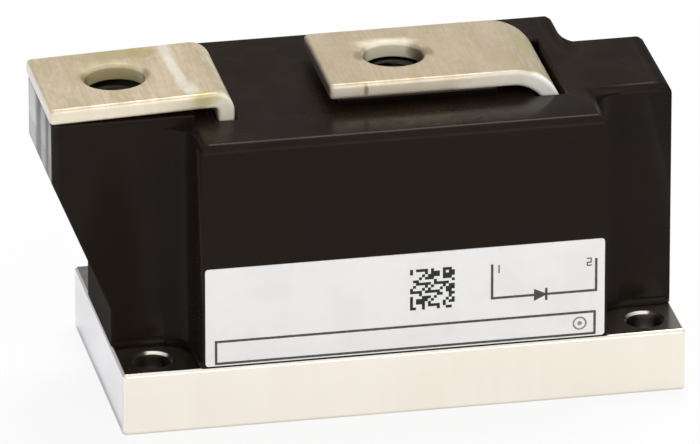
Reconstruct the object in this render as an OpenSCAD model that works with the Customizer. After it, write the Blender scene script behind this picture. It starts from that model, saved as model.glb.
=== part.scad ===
// Single-diode power module of the pressure-contact kind: a plated copper base plate,
// a moulded housing, two bent strap terminals over captive nuts, and the clamped diode inside.
// Millimetres. The origin is the centre of the base plate's underside, +X runs to the plain end of
// the housing, +Y away from the label, and +Z up.

$fn = 96;

/* [Base plate] */
// Length of the base plate
base_l = 104; // [102:0.5:110]
// Width of the base plate
base_w = 50; // [49.5:0.5:56]
// Thickness of the base plate
base_t = 11.8; // [11:0.1:15]
// Chamfer round the upper edge of the base plate
base_chamfer = 0.5; // [0.3:0.1:1]
// Radius of the base plate's upright corners
base_corner_r = 0.8; // [0.4:0.1:2]
// Distance between the mounting holes along the plate
mount_pitch_x = 91; // [90:0.5:93]
// Distance between the mounting holes across the plate
mount_pitch_y = 38; // [37:0.5:41]
// Diameter of a mounting hole
mount_hole_d = 6.6; // [5.5:0.1:7]

/* [Housing] */
// Length of the housing's main block
block_l = 74.6; // [73:0.2:77]
// Width of the housing's main block
block_w = 49.4; // [48:0.2:49.6]
// Height of the main block above the base plate
block_h = 43.3; // [42.5:0.1:50]
// Wall thickness of the housing
wall = 2.7; // [2:0.1:3]
// Thickness of the housing's roof
roof_t = 3.6; // [2.6:0.1:4.2]
// Chamfer along the housing's upper edges
edge_chamfer = 1.3; // [0.6:0.1:1.5]
// Radius of the housing's upright edges
edge_r = 0.5; // [0.3:0.1:0.9]
// Width of the narrow ends that leave the mounting holes free
waist_w = 24.2; // [23:0.2:25.4]
// Distance from the narrow ends to the ends of the base plate
waist_inset = 0.2; // [0.2:0.1:1.5]
// Radius in the inner corners between the narrow ends and the main block
waist_fillet_r = 5.2; // [3:0.1:6]
// Projection of the small rim at the housing's foot
foot_rim_w = 0.7; // [0.4:0.1:1.2]
// Height of the small rim at the housing's foot
foot_rim_h = 1.1; // [0.6:0.1:2]

/* [Overhang] */
// How far the overhang reaches past the narrow end under it
overhang_reach = 10.6; // [8:0.2:14]
// Height of the upright wall under the overhang's slope
overhang_foot_h = 7.3; // [4:0.1:12]
// Height of the overhang's end face
overhang_end_h = 11.4; // [10:0.1:16]
// How far the overhang's top lies above the main block's top
overhang_rise = 1.1; // [0.8:0.1:2]

/* [Strap terminals] */
// Width of a strap
strap_w = 25; // [23:0.5:26]
// Thickness of a strap
strap_t = 3; // [2.5:0.1:3.5]
// Distance of the upright part of each strap from the middle of the module
riser_x = 30.3; // [29.5:0.1:31]
// Width of a strap's foot inside the housing
strap_foot_w = 20; // [16:0.5:22]
// Inner bend radius at a strap's foot
strap_foot_bend_r = 1.5; // [0.8:0.1:2]
// Height above that bend at which a strap reaches its full width
strap_shoulder_h = 1; // [0.5:0.1:3]
// Corner radius at the free end of a strap
strap_corner_r = 1; // [0.5:0.1:2]
// Diameter of the bolt hole in a strap
strap_hole_d = 11; // [10.5:0.1:12]
// Chamfer at the upper rim of the bolt hole
strap_hole_chamfer = 0.6; // [0.3:0.1:1]
// Distance of the bolt hole from the strap's free end
strap_hole_inset = 14.2; // [13:0.2:16]
// Slope of terminal 1, which rises towards its bend
strap_1_tilt = 1.9; // [1:0.1:3]
// Inner bend radius of terminal 1 above the housing
strap_1_bend_r = 1; // [0.4:0.1:1.5]
// How far terminal 1 stands out past the overhang
strap_1_lip = 0.3; // [0.1:0.1:1]
// Gap under the free end of terminal 1
strap_1_gap = 0.05; // [0.05:0.05:0.3]
// Inner bend radius of terminal 2 above the housing
strap_2_bend_r = 6.5; // [4.5:0.1:7.5]
// Reach of terminal 2 from its upright part to its free end
strap_2_reach = 41.8; // [39:0.2:44]
// Height of the land that carries terminal 2
strap_2_land_h = 1.9; // [1.2:0.1:2.5]
// Distance from the edge of that land to the strap's edges
strap_2_land_inset = 2.2; // [1:0.1:3]
// Clearance round a strap in its slot
strap_clearance = 0.3; // [0.2:0.05:0.6]

/* [Captive nuts] */
// Width across flats of a terminal nut
nut_af = 16; // [15:0.5:17]
// Height of a terminal nut
nut_h = 8; // [7:0.1:8.6]
// Core diameter of the nut's thread
nut_bore_d = 8.5; // [8:0.1:9]
// Chamfer at both mouths of the thread
nut_bore_chamfer = 0.9; // [0.4:0.1:1.2]
// Distance from a nut's flats to its round bearing faces
nut_face_inset = 0.4; // [0.2:0.1:1]
// Slope of the chamfer on a nut's corners
nut_corner_slope = 30; // [15:1:35]
// Clearance between a nut's flats and its pocket
nut_clearance = 0.2; // [0.1:0.05:0.3]
// Depth of a nut's upper face under the rim of its pocket
nut_recess = 0.4; // [0.2:0.1:0.8]
// Room under a nut for the tip of the bolt
bolt_tip_room = 3; // [2:0.1:3.4]
// Diameter of that room
bolt_tip_d = 11; // [10.2:0.1:12]
// Least thickness of plastic round a nut pocket
pocket_wall = 2; // [1.4:0.1:2.2]

/* [Diode stack] */
// Gap between the ceramic insulator and the housing's wall
insulator_gap = 0.7; // [0.4:0.1:1.5]
// Thickness of the ceramic insulator
insulator_t = 1.5; // [1:0.1:2]
// Width of bare ceramic round the contact pad of terminal 1
creepage = 1; // [0.6:0.1:2]
// Thickness of the molybdenum disc
molybdenum_t = 2.4; // [1.8:0.1:2.8]
// Thickness of the silicon wafer
wafer_t = 0.5; // [0.3:0.05:0.8]
// Diameter of the upper contact disc and of terminal 2's contact pad
upper_pad_d = 30; // [26:0.5:31]
// Thickness of the upper contact disc
upper_disc_t = 0.8; // [0.5:0.1:1.2]
// Distance from the edge of terminal 1's contact pad to the ring that centres the wafer
ring_edge = 0.2; // [0:0.05:0.4]
// Wall thickness of that ring
ring_wall = 1.4; // [1:0.1:2]
// Clearance between that ring and the wafer
ring_clearance = 0.2; // [0.1:0.05:0.4]

/* [Clamp] */
// Floor thickness of the insulating cup on top of the stack
cup_floor_t = 2.5; // [2:0.1:3]
// Wall thickness of the insulating cup
cup_wall = 2; // [1.2:0.1:2.6]
// Height of the insulating cup's wall above its floor
cup_wall_h = 2; // [1:0.1:3]
// Thickness of the pressure plate
plate_t = 4; // [3:0.1:4.4]
// How far the pressure plate stands out past the springs
plate_rim = 1; // [0.5:0.1:1.4]
// Diameter of the pressure plate's spigot
spigot_d = 12; // [10:0.5:14]
// Diameter of a disc spring
spring_d = 26; // [23:0.5:27]
// Thickness of a disc spring
spring_t = 1.25; // [1:0.05:1.4]
// Cone height of a disc spring
spring_cone_h = 0.4; // [0.3:0.05:0.5]
// Number of disc spring pairs
spring_pairs = 2; // [1:1:2]
// Radial clearance between the pressure plate and the pieces it centres
clamp_clearance = 0.3; // [0.15:0.05:0.5]
// Thickness of the clamp yoke
yoke_t = 5; // [4:0.1:5.5]
// Gap between the clamp yoke and the housing's side walls
yoke_gap = 0.9; // [0.6:0.1:1.5]
// Gap between the clamp yoke and the straps
yoke_strap_gap = 2.8; // [2:0.1:4]
// Distance of the clamp screws from the yoke's edges
screw_edge = 5; // [4.8:0.1:6]
// Diameter of a clamp screw
screw_d = 5; // [4:0.1:5.4]
// Diameter of a clamp screw's head
screw_head_d = 8.5; // [7.5:0.1:9]
// Width across flats of the socket in a clamp screw's head
screw_socket_af = 4; // [3:0.1:4.5]
// Depth of the clamp screws in the base plate
screw_depth = 9; // [7:0.1:9.5]
// Diameter of the washer under a clamp screw
washer_d = 9.2; // [9:0.1:9.5]
// Thickness of that washer
washer_t = 1; // [0.8:0.1:1.2]
// Radial clearance of the clamp screws in their threads
thread_clearance = 0.05; // [0.03:0.01:0.1]

/* [Label] */
// Height of the label
label_h = 19.1; // [15:0.1:24]
// Thickness of the label
label_t = 0.15; // [0.1:0.05:0.3]
// Gap between the label and the base plate
label_gap = 0.3; // [0.2:0.1:1.5]
// Corner radius of the label
label_corner_r = 0.6; // [0.3:0.1:2]

/* [Hidden] */
// Overlap that joins two bodies of one piece, and overshoot of a cut
join = 0.5;
cut = 1;
// Steps in the arc of a strap's bend
arc_steps = 24;

// Housing
block_top = base_t + block_h;
roof_z = block_top - roof_t;
waist_end = base_l / 2 - waist_inset;
overhang_x = waist_end + overhang_reach;
overhang_top = block_top + overhang_rise;
cavity_l = block_l - 2 * wall;
cavity_w = block_w - 2 * wall;
core_w = waist_w - 2 * wall;

// Captive nuts
pocket_d = (nut_af + 2 * nut_clearance) / cos(30);
boss_d = pocket_d + 2 * pocket_wall;
pocket_depth = nut_recess + nut_h;
tip_depth = pocket_depth + bolt_tip_room;

// Strap terminals
riser_in = riser_x - strap_t / 2;
riser_out = riser_x + strap_t / 2;
flat_1_end_x = -riser_out - strap_1_bend_r * (1 + sin(strap_1_tilt));
flat_1_start_x = -overhang_x - strap_1_lip;
flat_1_l = (flat_1_end_x - flat_1_start_x) / cos(strap_1_tilt);
bend_1_x = -riser_out - strap_1_bend_r;
bend_1_rise = flat_1_l * sin(strap_1_tilt) - strap_1_bend_r * cos(strap_1_tilt);
bend_1_z = overhang_top + strap_1_gap + bend_1_rise;
hole_1_x = flat_1_start_x + strap_hole_inset;
land_2_z = block_top + strap_2_land_h;
bend_2_x = riser_in - strap_2_bend_r;
bend_2_z = land_2_z - strap_2_bend_r;
free_2_x = riser_x - strap_2_reach;
hole_2_x = free_2_x + strap_hole_inset;
slot_2_x = bend_2_x + sqrt(pow(strap_2_bend_r, 2) - pow(block_top - bend_2_z, 2)) - strap_clearance;

// Diode stack, from the base plate upwards
insulator_d = cavity_w - 2 * insulator_gap;
pad_1_d = insulator_d - 2 * creepage;
pad_1_z = base_t + insulator_t;
molybdenum_z = pad_1_z + strap_t;
wafer_z = molybdenum_z + molybdenum_t;
upper_disc_z = wafer_z + wafer_t;
pad_2_z = upper_disc_z + upper_disc_t;
ring_d = pad_1_d - 2 * ring_edge;
ring_hole_d = ring_d - 2 * ring_wall;
pellet_d = ring_hole_d - 2 * ring_clearance;

// Clamp
cup_z = pad_2_z + strap_t;
plate_z = cup_z + cup_floor_t;
plate_d = spring_d + 2 * plate_rim;
cup_d = plate_d + 2 * clamp_clearance;
spring_z = plate_z + plate_t;
spring_gap = 0.02;
spring_step = spring_t + spring_cone_h + spring_gap;
yoke_z = spring_z + 2 * spring_pairs * spring_step;
yoke_l = 2 * (riser_in - yoke_strap_gap);
yoke_w = cavity_w - 2 * yoke_gap;
washer_z = yoke_z + yoke_t;
screw_x = yoke_l / 2 - screw_edge;
screw_y = yoke_w / 2 - screw_edge;
screw_head_z = washer_z + washer_t;

// Shared shapes

// Rectangle with round corners, centred
module rounded_rect(l, w, r) {
    square([l - 2 * r, w], center = true);
    square([l, w - 2 * r], center = true);
    for (x = [-1, 1], y = [-1, 1])
        translate([x * (l / 2 - r), y * (w / 2 - r)])
            circle(r);
}

// Upright outline whose two upper corners are cut at 45 degrees, open to the sides
module chamfer_outline(s, h, c) {
    half = s / 2 + cut;
    polygon([
        [-half, 0],
        [half, 0],
        [half, h - c - cut],
        [s / 2 - c, h],
        [-s / 2 + c, h],
        [-half, h - c - cut],
    ]);
}

// Block with round upright edges and a chamfer round its top
module chamfered_block(l, w, h, c, r) {
    intersection() {
        linear_extrude(h)
            rounded_rect(l, w, r);
        rotate([90, 0, 0])
            linear_extrude(w + 2 * cut, center = true)
                chamfer_outline(l, h, c);
        rotate([90, 0, 90])
            linear_extrude(l + 2 * cut, center = true)
                chamfer_outline(w, h, c);
    }
}

// Children at the four corners of a rectangle
module at_corners(x, y) {
    for (sx = [-1, 1], sy = [-1, 1])
        translate([sx * x, sy * y, 0])
            children();
}

// Box that is centred across the module, given its span along X and Z
module span_box(x0, x1, w, z0, z1) {
    translate([x0, -w / 2, z0])
        cube([x1 - x0, w, z1 - z0]);
}

// Flat ring
module ring(d, hole_d, h) {
    difference() {
        cylinder(h = h, d = d);
        translate([0, 0, -cut])
            cylinder(h = h + 2 * cut, d = hole_d);
    }
}

// Base plate

module base_plate() {
    color([0.88, 0.85, 0.8])
        difference() {
            chamfered_block(base_l, base_w, base_t, base_chamfer, base_corner_r);
            translate([0, 0, -cut])
                at_corners(mount_pitch_x / 2, mount_pitch_y / 2)
                    cylinder(h = base_t + 2 * cut, d = mount_hole_d);
            translate([0, 0, base_t - screw_depth - thread_clearance])
                at_corners(screw_x, screw_y)
                    cylinder(h = base_t, d = screw_d + 2 * thread_clearance);
        }
}

// Housing

// Plain narrow end on the +X side, whose top runs into the main block's top
module plain_end() {
    l = waist_end - block_l / 2 + 2 * edge_chamfer + join;
    translate([waist_end - l / 2, 0, base_t])
        chamfered_block(l, waist_w, block_h, edge_chamfer, edge_r);
}

// Narrow end with the overhang that carries terminal 1, on the -X side
module overhang() {
    inner_x = -block_l / 2 + edge_chamfer;
    l = overhang_x + inner_x + 2 * edge_r;
    intersection() {
        rotate([90, 0, 0])
            linear_extrude(waist_w + 2 * cut, center = true)
                polygon([
                    [inner_x, base_t],
                    [-waist_end, base_t],
                    [-waist_end, base_t + overhang_foot_h],
                    [-overhang_x, overhang_top - overhang_end_h],
                    [-overhang_x - cut, overhang_top - overhang_end_h],
                    [-overhang_x - cut, overhang_top],
                    [inner_x, overhang_top],
                ]);
        translate([l / 2 - overhang_x, 0, 0])
            linear_extrude(overhang_top + cut)
                rounded_rect(l, waist_w, edge_r);
    }
}

// Hollow corners between the narrow ends and a block, each a square less a quarter of a circle
module corner_fillets(x, y, r, h) {
    for (mx = [0, 1], my = [0, 1])
        mirror([mx, 0, 0])
            mirror([0, my, 0])
                translate([x, y, base_t])
                    linear_extrude(h)
                        difference() {
                            translate([-join, -join])
                                square(r + join);
                            translate([r, r])
                                circle(r);
                        }
}

// Rim at the foot of the narrow ends and of the block's end walls
module foot_rim() {
    translate([0, 0, base_t])
        linear_extrude(foot_rim_h) {
            square([block_l + 2 * foot_rim_w, block_w - 2 * edge_r], center = true);
            square([2 * (waist_end - edge_r), waist_w + 2 * foot_rim_w], center = true);
        }
    corner_fillets(
        block_l / 2 + foot_rim_w,
        waist_w / 2 + foot_rim_w,
        waist_fillet_r - foot_rim_w,
        foot_rim_h
    );
}

// Land on the roof that carries terminal 2
module strap_2_land() {
    x0 = free_2_x + strap_2_land_inset;
    x1 = bend_2_x - strap_2_land_inset;
    translate([(x0 + x1) / 2, 0, block_top - join])
        linear_extrude(strap_2_land_h + join)
            rounded_rect(x1 - x0, strap_w - 2 * strap_2_land_inset, edge_r);
}

module housing_outside() {
    translate([0, 0, base_t])
        chamfered_block(block_l, block_w, block_h, edge_chamfer, edge_r);
    plain_end();
    overhang();
    corner_fillets(block_l / 2, waist_w / 2, waist_fillet_r, block_h - edge_chamfer);
    foot_rim();
    strap_2_land();
}

// Hollow main block and hollow narrow ends, open towards the base plate
module housing_hollows() {
    low_z = base_t - cut;
    left_roof_z = overhang_top - tip_depth - pocket_wall;
    span_box(-cavity_l / 2, cavity_l / 2, cavity_w, low_z, roof_z);
    span_box(block_l / 2, waist_end - wall, core_w, low_z, roof_z);
    span_box(-waist_end + wall, -block_l / 2, core_w, low_z, left_roof_z);
}

// Hexagonal pocket for a nut, with room for the bolt's tip under it
module nut_pocket(x, top_z) {
    translate([x, 0, top_z]) {
        translate([0, 0, -pocket_depth])
            cylinder(h = pocket_depth + cut, d = pocket_d, $fn = 6);
        translate([0, 0, -tip_depth])
            cylinder(h = tip_depth, d = bolt_tip_d);
    }
}

module strap_slots() {
    slot_w = strap_w + 2 * strap_clearance;
    top = overhang_top + cut;
    span_box(-riser_out - strap_clearance, -riser_in + strap_clearance, slot_w, roof_z - cut, top);
    span_box(slot_2_x, riser_out + strap_clearance, slot_w, roof_z - cut, top);
}

module housing() {
    boss_z = land_2_z - tip_depth - pocket_wall;
    color([0.15, 0.13, 0.12])
        difference() {
            union() {
                difference() {
                    housing_outside();
                    housing_hollows();
                }
                translate([hole_2_x, 0, boss_z])
                    cylinder(h = block_top - join - boss_z, d = boss_d);
            }
            strap_slots();
            nut_pocket(hole_1_x, overhang_top);
            nut_pocket(hole_2_x, land_2_z);
        }
}

module label() {
    color([0.92, 0.91, 0.91])
        translate([0, -block_w / 2, base_t + label_gap + label_h / 2])
            rotate([90, 0, 0])
                linear_extrude(label_t)
                    rounded_rect(block_l - 2 * edge_r, label_h, label_corner_r);
}

// Strap terminals

// Points along an arc about the origin, from one angle to another
function arc_points(r, from_angle, to_angle) = [
    for (i = [0 : arc_steps])
        let (a = from_angle + (to_angle - from_angle) * i / arc_steps)
            r * [cos(a), sin(a)]
];

// Flat with a bolt hole, running towards -X, the bend at its other end, and the upright part below it.
// The bend's centre is the origin.
module strap_above_foot(r, tilt, l, upright) {
    outer_r = r + strap_t;
    plan_l = l + outer_r + upright;
    past_end = (l + cut) * [cos(tilt), sin(tilt)];
    inner_arc = arc_points(r, 90 + tilt, 0);
    outer_arc = arc_points(outer_r, 0, 90 + tilt);
    profile = concat(
        [inner_arc[0] - past_end],
        inner_arc,
        [[r, -upright], [outer_r, -upright]],
        outer_arc,
        [outer_arc[arc_steps] - past_end]
    );
    difference() {
        intersection() {
            rotate([90, 0, 0])
                linear_extrude(strap_w + 2 * cut, center = true)
                    polygon(profile);
            rotate([0, -tilt, 0])
                translate([plan_l / 2 - l, 0, -upright - outer_r])
                    linear_extrude(upright + 2 * outer_r + cut)
                        rounded_rect(plan_l, strap_w, strap_corner_r);
        }
        rotate([0, -tilt, 0])
            translate([strap_hole_inset - l, 0, outer_r])
                bolt_hole();
    }
}

// Cut for a bolt through a strap whose upper face lies at the origin, chamfered at its rim
module bolt_hole() {
    translate([0, 0, -strap_t - cut])
        cylinder(h = strap_t + 2 * cut, d = strap_hole_d);
    translate([0, 0, -strap_hole_chamfer])
        cylinder(
            h = 2 * strap_hole_chamfer,
            d1 = strap_hole_d,
            d2 = strap_hole_d + 4 * strap_hole_chamfer
        );
}

// Height of the bend's centre at a strap's foot, and of the shoulder where the strap widens
function foot_bend_z(pad_z) = pad_z + strap_t + strap_foot_bend_r;
function shoulder_z(pad_z) = foot_bend_z(pad_z) + strap_shoulder_h;

// Foot on the +X side, from the shoulder to a round contact pad on the middle axis
module strap_foot(pad_z, pad_d) {
    bend_x = riser_in - strap_foot_bend_r;
    bend_z = foot_bend_z(pad_z);
    span_box(riser_in, riser_out, strap_foot_w, bend_z, shoulder_z(pad_z) + join);
    translate([bend_x, 0, bend_z])
        rotate([90, 0, 0])
            rotate([0, 0, -90])
                rotate_extrude(angle = 90)
                    translate([strap_foot_bend_r, -strap_foot_w / 2])
                        square([strap_t, strap_foot_w]);
    span_box(0, bend_x, strap_foot_w, pad_z, pad_z + strap_t);
    translate([0, 0, pad_z])
        cylinder(h = strap_t, d = pad_d);
}

module terminal_1_strap() {
    color([0.77, 0.72, 0.62]) {
        translate([bend_1_x, 0, bend_1_z])
            strap_above_foot(strap_1_bend_r, strap_1_tilt, flat_1_l, bend_1_z - shoulder_z(pad_1_z));
        mirror([1, 0, 0])
            strap_foot(pad_1_z, pad_1_d);
    }
}

module terminal_2_strap() {
    color([0.77, 0.72, 0.62]) {
        translate([bend_2_x, 0, bend_2_z])
            strap_above_foot(strap_2_bend_r, 0, bend_2_x - free_2_x, bend_2_z - shoulder_z(pad_2_z));
        strap_foot(pad_2_z, upper_pad_d);
    }
}

// Captive nuts

// Hexagon nut with chamfered corners and a countersunk thread
module terminal_nut(x, rim_z) {
    corner_d = nut_af / cos(30);
    face_r = nut_af / 2 - nut_face_inset;
    rim_r = corner_d / 2 + cut;
    rim_h = (rim_r - face_r) * tan(nut_corner_slope);
    bore_r = nut_bore_d / 2;
    mouth_r = bore_r + nut_bore_chamfer;
    color([0.45, 0.43, 0.4])
        translate([x, 0, rim_z - pocket_depth])
            intersection() {
                cylinder(h = nut_h, d = corner_d, $fn = 6);
                rotate_extrude()
                    polygon([
                        [mouth_r, 0],
                        [face_r, 0],
                        [rim_r, rim_h],
                        [rim_r, nut_h - rim_h],
                        [face_r, nut_h],
                        [mouth_r, nut_h],
                        [bore_r, nut_h - nut_bore_chamfer],
                        [bore_r, nut_bore_chamfer],
                    ]);
            }
}

module terminal_1_nut() {
    terminal_nut(hole_1_x, overhang_top);
}

module terminal_2_nut() {
    terminal_nut(hole_2_x, land_2_z);
}

// Diode stack

module ceramic_insulator() {
    color([0.93, 0.93, 0.9])
        translate([0, 0, base_t])
            cylinder(h = insulator_t, d = insulator_d);
}

module molybdenum_disc() {
    color([0.55, 0.56, 0.58])
        translate([0, 0, molybdenum_z])
            cylinder(h = molybdenum_t, d = pellet_d);
}

module silicon_wafer() {
    color([0.3, 0.32, 0.38])
        translate([0, 0, wafer_z])
            cylinder(h = wafer_t, d = pellet_d);
}

module upper_contact_disc() {
    color([0.8, 0.8, 0.8])
        translate([0, 0, upper_disc_z])
            cylinder(h = upper_disc_t, d = upper_pad_d);
}

module centring_ring() {
    color([0.9, 0.88, 0.82])
        translate([0, 0, molybdenum_z])
            ring(ring_d, ring_hole_d, molybdenum_t + wafer_t);
}

// Clamp

module insulating_cup() {
    color([0.85, 0.82, 0.75])
        translate([0, 0, cup_z])
            difference() {
                cylinder(h = cup_floor_t + cup_wall_h, d = cup_d + 2 * cup_wall);
                translate([0, 0, cup_floor_t])
                    cylinder(h = cup_wall_h + cut, d = cup_d);
            }
}

module pressure_plate() {
    spigot_h = washer_z - plate_z - clamp_clearance;
    color([0.6, 0.6, 0.62])
        translate([0, 0, plate_z]) {
            cylinder(h = plate_t, d = plate_d);
            cylinder(h = spigot_h, d = spigot_d);
        }
}

// Cone springs in pairs, each pair rim outwards below and above
module disc_springs() {
    inner_r = spigot_d / 2 + clamp_clearance;
    outer_r = spring_d / 2;
    color([0.5, 0.5, 0.53])
        for (i = [0 : 2 * spring_pairs - 1]) {
            inner_z = i % 2 == 0 ? spring_cone_h : 0;
            outer_z = spring_cone_h - inner_z;
            translate([0, 0, spring_z + spring_gap / 2 + i * spring_step])
                rotate_extrude()
                    polygon([
                        [inner_r, inner_z],
                        [outer_r, outer_z],
                        [outer_r, outer_z + spring_t],
                        [inner_r, inner_z + spring_t],
                    ]);
        }
}

module clamp_yoke() {
    color([0.58, 0.58, 0.6])
        translate([0, 0, yoke_z])
            difference() {
                linear_extrude(yoke_t)
                    rounded_rect(yoke_l, yoke_w, screw_edge / 2);
                translate([0, 0, -cut]) {
                    cylinder(h = yoke_t + 2 * cut, d = spigot_d + 2 * clamp_clearance);
                    at_corners(screw_x, screw_y)
                        cylinder(h = yoke_t + 2 * cut, d = screw_d + 2 * clamp_clearance);
                }
            }
}

module clamp_washers() {
    color([0.65, 0.65, 0.67])
        translate([0, 0, washer_z])
            at_corners(screw_x, screw_y)
                ring(washer_d, screw_d + 2 * clamp_clearance, washer_t);
}

// Socket-head screws that pull the yoke towards the base plate
module clamp_screws() {
    tip_z = base_t - screw_depth;
    socket_depth = screw_d / 2;
    color([0.35, 0.35, 0.37])
        at_corners(screw_x, screw_y)
            difference() {
                union() {
                    translate([0, 0, tip_z])
                        cylinder(h = screw_head_z - tip_z, d = screw_d);
                    translate([0, 0, screw_head_z])
                        cylinder(h = screw_d, d = screw_head_d);
                }
                translate([0, 0, screw_head_z + screw_d - socket_depth])
                    cylinder(h = socket_depth + cut, d = screw_socket_af / cos(30), $fn = 6);
            }
}

base_plate();
housing();
label();
terminal_1_strap();
terminal_2_strap();
terminal_1_nut();
terminal_2_nut();
ceramic_insulator();
molybdenum_disc();
silicon_wafer();
upper_contact_disc();
centring_ring();
insulating_cup();
pressure_plate();
disc_springs();
clamp_yoke();
clamp_washers();
clamp_screws();
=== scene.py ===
"""Looks of a single-diode power module: plated base and straps, moulded housing, printed label.

Everything is in metres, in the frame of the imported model: +X runs to the plain end of the housing, +Y away
from the label and +Z up from the heat sink.
"""

import logging
import math
from dataclasses import dataclass
from enum import Enum
from typing import Any, Callable, Sequence

import bmesh
import bpy
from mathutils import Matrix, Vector

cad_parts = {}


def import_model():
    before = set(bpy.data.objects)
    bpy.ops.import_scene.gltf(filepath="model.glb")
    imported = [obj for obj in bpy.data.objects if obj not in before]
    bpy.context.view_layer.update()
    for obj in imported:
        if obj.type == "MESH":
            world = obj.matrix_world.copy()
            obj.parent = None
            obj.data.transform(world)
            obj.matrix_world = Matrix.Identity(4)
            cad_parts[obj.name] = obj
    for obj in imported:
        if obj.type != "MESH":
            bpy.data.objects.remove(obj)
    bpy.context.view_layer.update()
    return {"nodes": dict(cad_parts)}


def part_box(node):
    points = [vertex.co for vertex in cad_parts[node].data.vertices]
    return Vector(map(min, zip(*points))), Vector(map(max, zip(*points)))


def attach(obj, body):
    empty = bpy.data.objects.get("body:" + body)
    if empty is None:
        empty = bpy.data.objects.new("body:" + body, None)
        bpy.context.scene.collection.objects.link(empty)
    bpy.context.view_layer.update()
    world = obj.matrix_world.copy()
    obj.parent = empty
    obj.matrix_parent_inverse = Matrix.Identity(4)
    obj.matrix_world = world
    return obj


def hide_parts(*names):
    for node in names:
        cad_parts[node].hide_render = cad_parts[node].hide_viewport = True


LOG = logging.getLogger("diode_module")
MM = 0.001
WELD = 0.000004
FLAT_ANGLE = math.radians(0.5)
SHARP_ANGLE = math.radians(25)
FLAT_FACE_WEIGHT = 60
BODY = "root"

Triple = tuple[float, float, float]
Point = tuple[float, float]
Outline = list[Point]
Piece = bpy.types.Object
Edge = bmesh.types.BMEdge
Socket = bpy.types.NodeSocket
Nodes = dict[str, Piece]
Feed = Socket | float | Triple


class Slot(Enum):
    """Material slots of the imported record."""

    BASE = "base_plating"
    HOUSING = "housing_plastic"
    LABEL = "label_film"
    STRAP = "strap_plating"
    NUT = "nut_steel"
    CERAMIC = "insulator_ceramic"
    MOLYBDENUM = "molybdenum"
    SILICON = "silicon"
    CONTACT = "contact_plating"
    INNER_PLASTIC = "inner_plastic"
    CLAMP = "clamp_steel"
    SPRING = "spring_steel"
    SCREW = "screw_steel"


class Shade(Enum):
    """Shades of the label's print."""

    BLACK = (0.014, 0.013, 0.013)
    GREY = (0.065, 0.058, 0.058)
    PALE = (0.21, 0.2, 0.2)


class Effect(Enum):
    """Surface effects that several materials share, each a shader node group."""

    GRAIN = "fine_grain"
    STREAKS = "brushed_streaks"
    PATCHES = "tone_patches"
    SPOT = "soft_spot"
    EDGE = "edge_wear"
    DUST = "settled_dust"


def toned(colour: Triple, shares: Triple) -> Triple:
    """Multiply a colour part by part, up to 1."""
    return tuple(min(1.0, part * share) for part, share in zip(colour, shares))


class Graph:
    """Short calls that add nodes to one tree and link them."""

    def __init__(self, tree: bpy.types.NodeTree) -> None:
        """Empty the tree that the calls work on, and keep it."""
        tree.nodes.clear()
        self.tree = tree

    def feed(self, socket: Socket, value: Feed) -> None:
        """Link a socket to another one, or set its value.

        Args:
            socket: Input to fill.
            value: Output socket to link, or a constant.
        """
        if isinstance(value, Socket):
            self.tree.links.new(value, socket)
            return
        if socket.type == "RGBA" and len(value) == 3:
            value = (*value, 1.0)
        socket.default_value = value

    def add(self, kind: str, feeds: dict[Any, Feed] | None = None, **settings: Any) -> bpy.types.Node:
        """Add a node.

        Args:
            kind: Blender's name of the node type.
            feeds: Values or links by input name or number.
            settings: Properties of the node.

        Returns:
            The new node.
        """
        node = self.tree.nodes.new(kind)
        for name, value in settings.items():
            setattr(node, name, value)
        for key, value in (feeds or {}).items():
            self.feed(node.inputs[key], value)
        return node

    def effect(self, effect: Effect, **feeds: Feed) -> Socket:
        """Place a shared effect, and give its only output."""
        return self.add("ShaderNodeGroup", feeds, node_tree=EffectGroup.made(effect)).outputs[0]

    def math(self, operation: str, a: Feed, b: Feed = 0.0) -> Socket:
        """Work out one operation on two values."""
        return self.add("ShaderNodeMath", {0: a, 1: b}, operation=operation).outputs[0]

    def times(self, a: Feed, b: Feed) -> Socket:
        """Multiply two values."""
        return self.math("MULTIPLY", a, b)

    def total(self, a: Feed, share_a: float, b: Feed, share_b: float) -> Socket:
        """Add shares of two values."""
        return self.math("ADD", self.times(a, share_a), self.times(b, share_b))

    def vector(self, operation: str, a: Feed, b: Feed = (0.0, 0.0, 0.0)) -> Any:
        """Work out one operation on two vectors, and give the node's outputs."""
        return self.add("ShaderNodeVectorMath", {0: a, 1: b}, operation=operation).outputs

    def upward(self, vector: Feed) -> Socket:
        """Give a vector's part along Z."""
        return self.add("ShaderNodeSeparateXYZ", {0: vector}).outputs["Z"]

    def scaled(self, value: Feed, low: float, high: float) -> Socket:
        """Spread a value between 0 and 1 over the range from low to high."""
        feeds = {"Value": value, "To Min": low, "To Max": high}
        return self.add("ShaderNodeMapRange", feeds).outputs["Result"]

    def step(self, value: Feed, low: Feed, high: Feed) -> Socket:
        """Rise smoothly from 0 at low to 1 at high."""
        feeds = {"Value": value, "From Min": low, "From Max": high}
        return self.add("ShaderNodeMapRange", feeds, interpolation_type="SMOOTHSTEP").outputs["Result"]

    def blend(self, amount: Feed, a: Feed, b: Feed) -> Socket:
        """Mix two colours, with the amount as the second one's share."""
        return self.add("ShaderNodeMix", {0: amount, 6: a, 7: b}, data_type="RGBA").outputs[2]

    def noise(self, place: Feed, waves: Feed, detail: float = 3.0) -> Socket:
        """Add a noise texture with so many waves per metre."""
        feeds = {"Vector": place, "Scale": waves, "Detail": detail}
        return self.add("ShaderNodeTexNoise", feeds).outputs["Fac"]


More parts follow.
